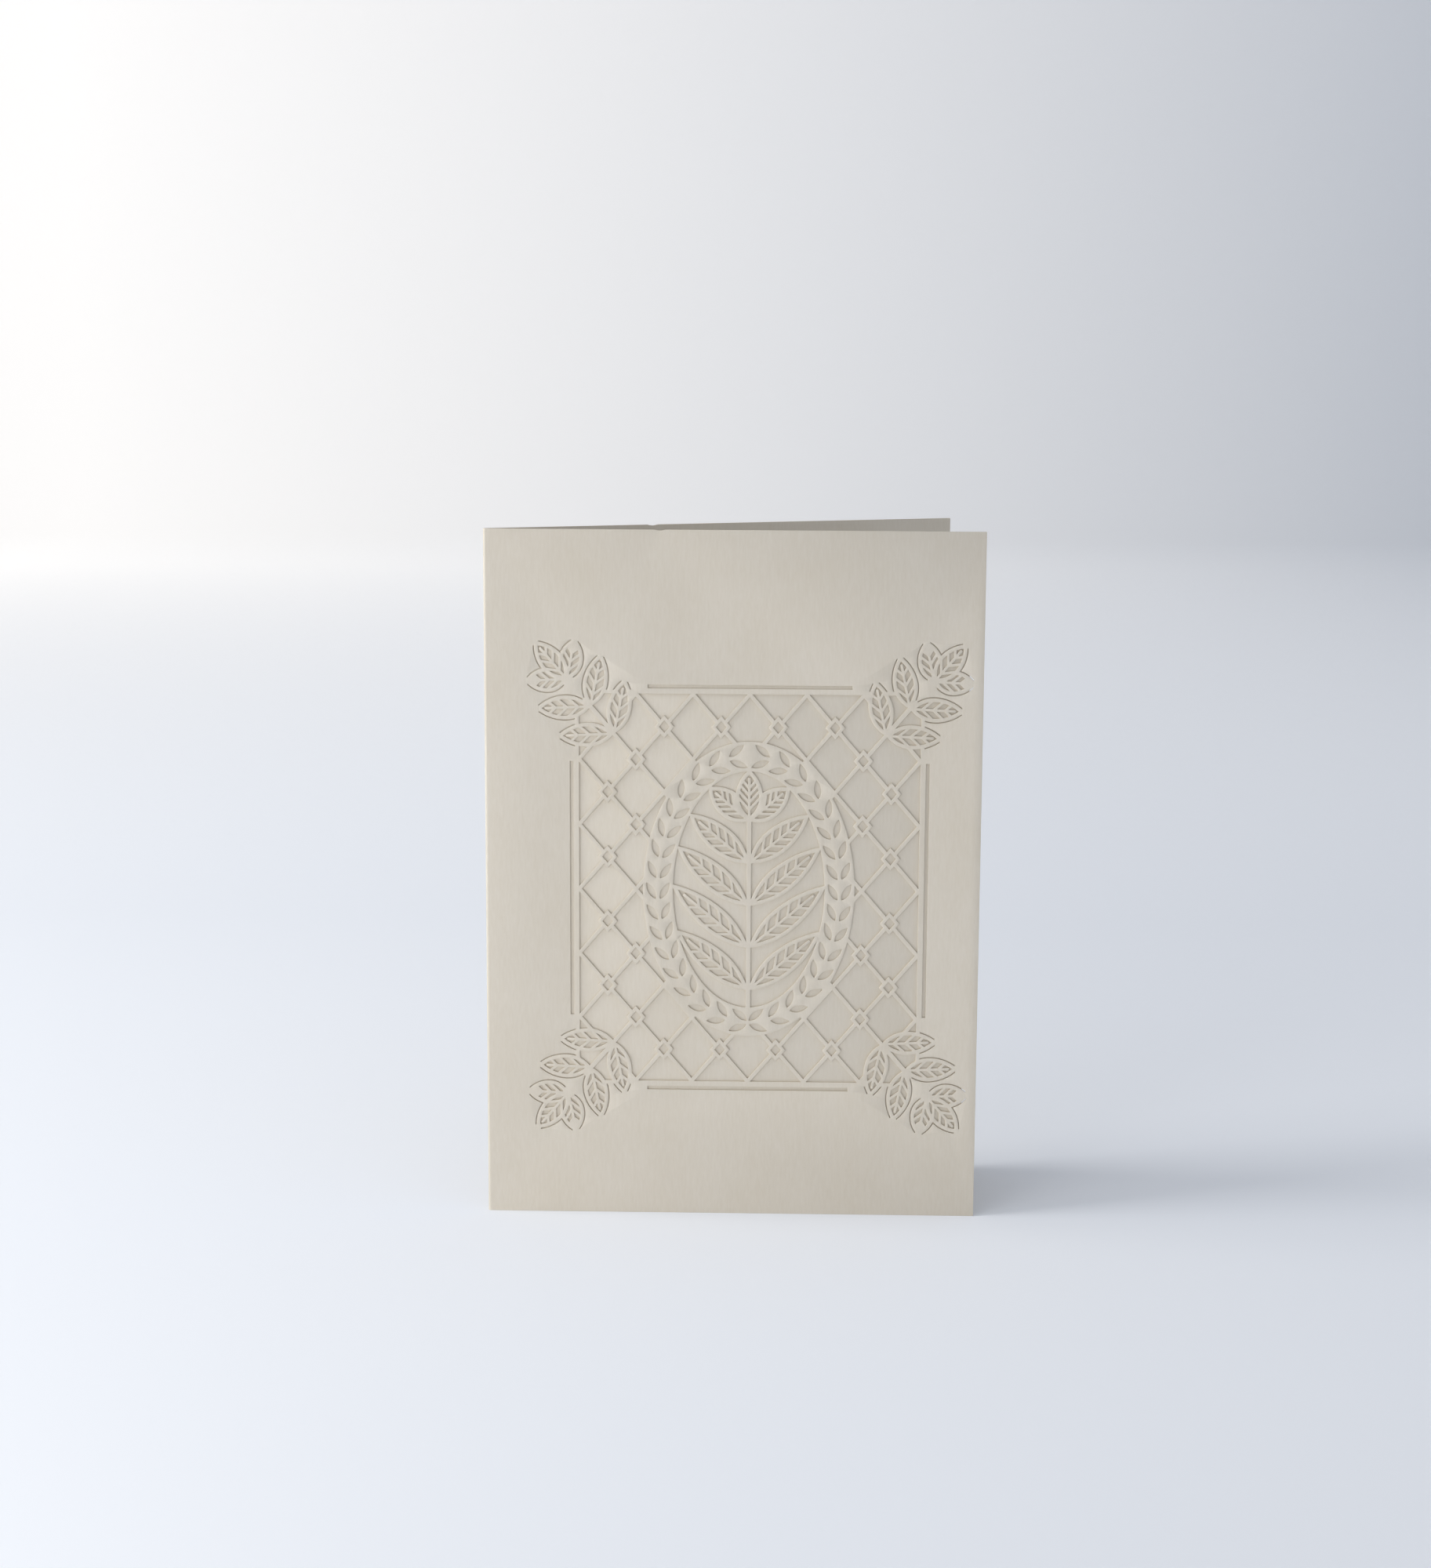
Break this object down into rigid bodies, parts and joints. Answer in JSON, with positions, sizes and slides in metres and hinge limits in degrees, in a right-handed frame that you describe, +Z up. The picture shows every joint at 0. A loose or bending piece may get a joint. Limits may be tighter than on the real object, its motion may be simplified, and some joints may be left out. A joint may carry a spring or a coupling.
{
  "type": "greeting card",
  "caption": "Folded A6 card in cream pearlescent paper, standing as a narrow V, with a fine cut-through lattice and leaf pattern on its front and a plain sheet glued behind it.",
  "frame": {"origin": "middle of the card's box, at the height of the surface it stands on", "axes": "+Z up the fold; the front panel lies along X with the fold at -X and faces -Y; the back panel opens towards +Y"},
  "size_m": [0.105, 0.035, 0.148],
  "materials": {
    "cover_paper": "pearlescent cream card, satin",
    "backing_paper": "pearlescent cream paper, satin"
  },
  "bodies": {
    "root": {"cover": "cover_paper", "backing_sheet": "backing_paper"}
  },
  "joints": []
}
